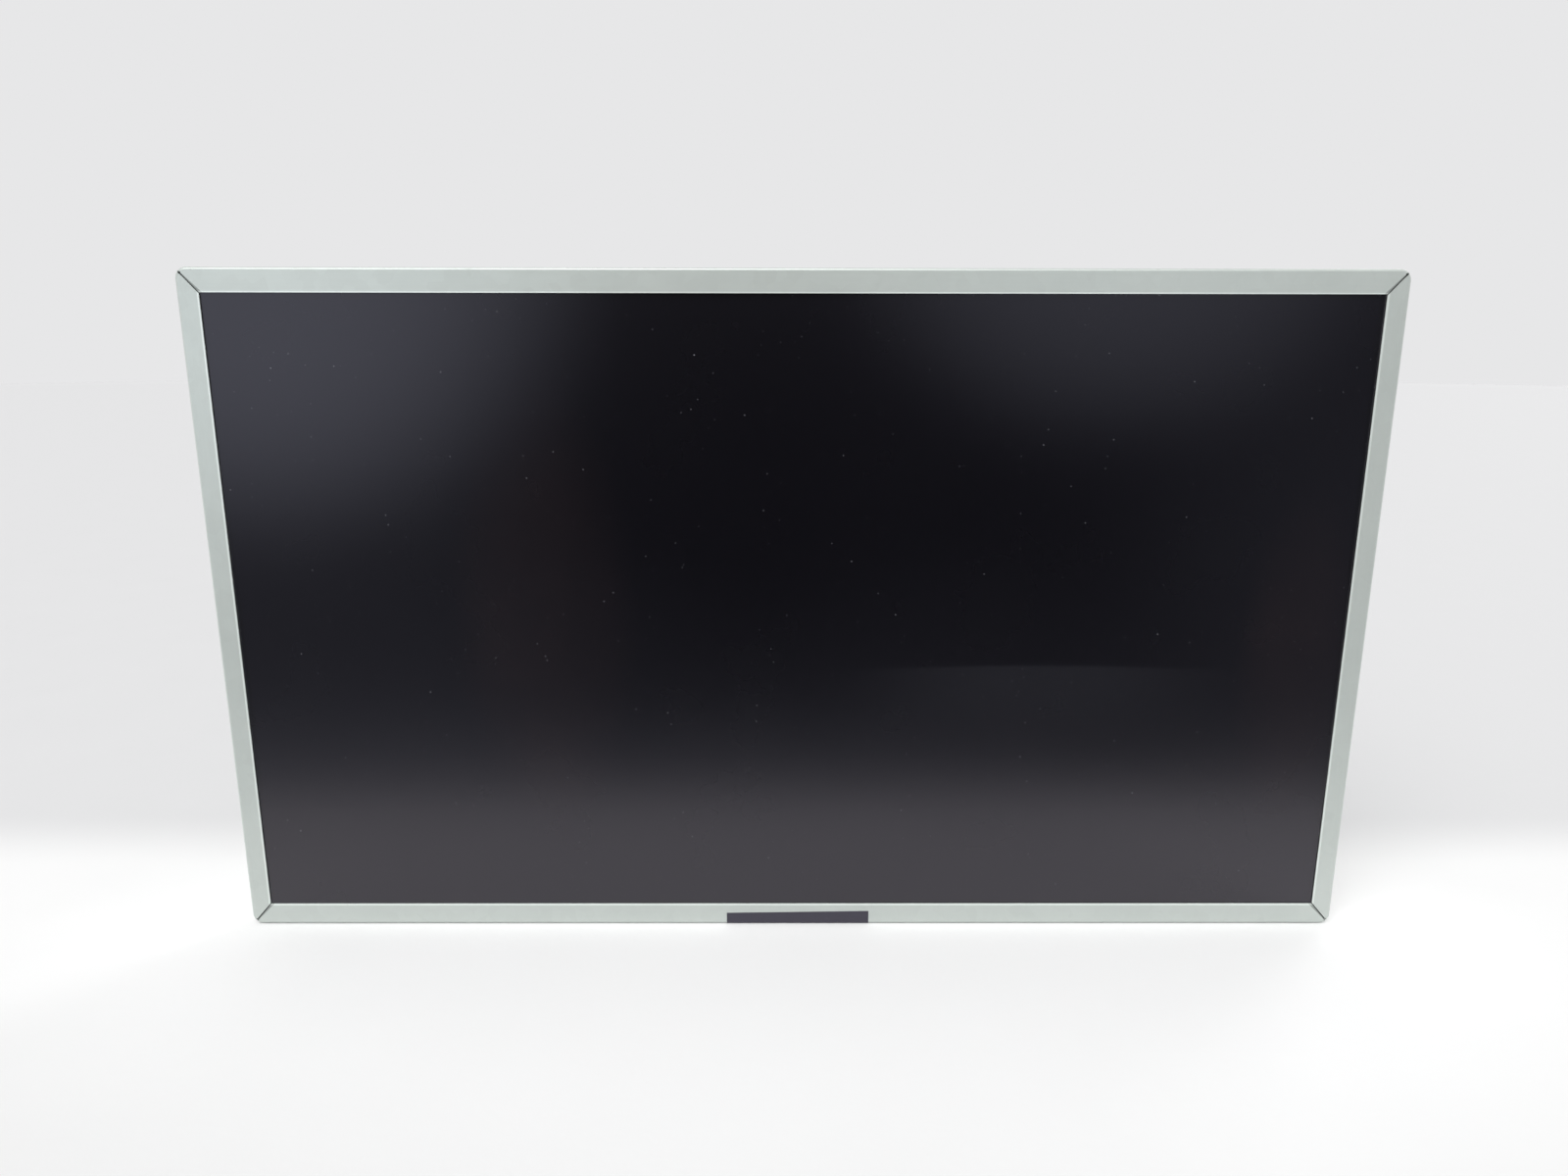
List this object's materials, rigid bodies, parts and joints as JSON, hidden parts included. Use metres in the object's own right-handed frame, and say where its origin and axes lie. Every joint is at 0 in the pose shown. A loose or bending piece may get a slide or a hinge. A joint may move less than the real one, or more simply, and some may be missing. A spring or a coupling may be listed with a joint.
{
  "type": "lcd panel",
  "caption": "Flat LCD panel of a desktop monitor: dark matt screen in a thin folded steel frame, backlight stack inside, driver board with sockets under a shield at the back.",
  "frame": {"origin": "centre of the whole panel's bounding box", "axes": "+Z to the top of the screen, -Y out of the screen to the viewer, +X to the viewer's right"},
  "size_m": [0.5332, 0.0128, 0.3121],
  "materials": {
    "galvanised_steel": "galvanised sheet, dull spangle",
    "tinned_steel": "tinned sheet, satin",
    "screw_steel": "zinc plated",
    "black_tape": "black polyester tape, satin",
    "foam": "black foam",
    "screen_film": "anti-glare polarizing film",
    "cell_glass": "thin glass",
    "amber_film": "polyimide film with copper",
    "chip_black": "moulded epoxy",
    "black_plastic": "black polycarbonate",
    "white_film": "white polyester sheet",
    "clear_film": "ribbed clear film",
    "clear_acrylic": "clear acrylic with printed dots",
    "silicone": "pale silicone",
    "light_bar": "aluminium core, white solder mask",
    "lamp_yellow": "white package with yellow gel",
    "heat_tape": "grey heat-conducting tape",
    "socket_plastic": "cream nylon",
    "contact_gold": "gold plated",
    "insulating_film": "pale polyester",
    "board_green": "green solder mask",
    "ceramic_tan": "ceramic with tinned ends",
    "coil_dark": "ferrite"
  },
  "bodies": {
    "root": {"bezel": "galvanised_steel", "edge_tape": "black_tape", "glass_cushions": "foam", "front_polarizer": "screen_film", "color_filter_glass": "cell_glass", "tft_glass": "cell_glass", "rear_polarizer": "screen_film", "glass_tape": "black_tape", "driver_films": "amber_film", "driver_chips": "chip_black", "mould_frame": "black_plastic", "diffuser_film": "white_film", "prism_sheet": "clear_film", "diffuser_sheet": "white_film", "light_guide": "clear_acrylic", "light_guide_stops": "silicone", "reflector_sheet": "white_film", "led_board": "light_bar", "led_lamps": "lamp_yellow", "led_heat_tape": "heat_tape", "led_tail": "amber_film", "led_socket": "socket_plastic", "led_socket_contacts": "contact_gold", "back_cover": "galvanised_steel", "insulating_sheet": "insulating_film", "driver_board": "board_green", "timing_chip": "chip_black", "board_chips": "chip_black", "board_capacitors": "ceramic_tan", "board_coils": "coil_dark", "signal_socket": "socket_plastic", "signal_socket_shell": "tinned_steel", "signal_socket_contacts": "contact_gold", "board_shield": "tinned_steel", "board_screws": "screw_steel", "shield_screws": "screw_steel", "ear_screws": "screw_steel"}
  },
  "joints": []
}
